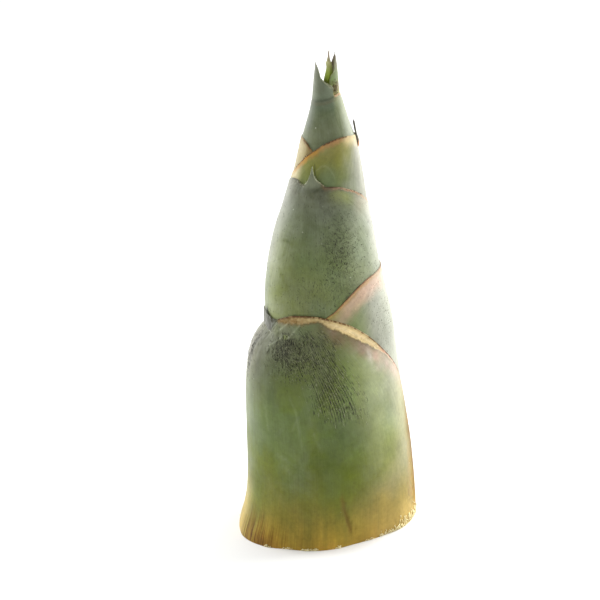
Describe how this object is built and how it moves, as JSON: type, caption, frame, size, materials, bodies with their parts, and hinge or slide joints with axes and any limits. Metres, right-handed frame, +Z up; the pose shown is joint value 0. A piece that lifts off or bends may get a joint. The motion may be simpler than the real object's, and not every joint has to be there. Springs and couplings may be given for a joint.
{
  "type": "bamboo shoot",
  "caption": "Fresh bamboo shoot, cut flat at the base, with a solid stem, overlapping pointed culm sheaths and a leaf spear at its tip.",
  "frame": {"origin": "middle of the flat cut at the base, on the surface the shoot stands on", "axes": "+Z up along the shoot, -Y towards the front, +X to the right seen from the front, the way the shoot leans"},
  "size_m": [0.0943, 0.0864, 0.2426],
  "materials": {
    "stem": "pale cream cut flesh, moist, matte",
    "sheath_1": "mid green with a waxy bloom and short dark hairs, tan towards the cut base, satin",
    "sheath_2": "green with an orange-brown margin, satin",
    "sheath_3": "bluish grey-green with dark strokes, waxy satin",
    "sheath_4": "yellow-green with an orange margin, waxy satin",
    "sheath_5": "dark grey-green, satin",
    "sheath_6": "grey-green, satin",
    "central_spear": "bright green, satin"
  },
  "bodies": {
    "root": {"stem": "stem", "sheath_1": "sheath_1", "sheath_2": "sheath_2", "sheath_3": "sheath_3", "sheath_4": "sheath_4", "sheath_5": "sheath_5", "sheath_6": "sheath_6", "central_spear": "central_spear"}
  },
  "joints": []
}
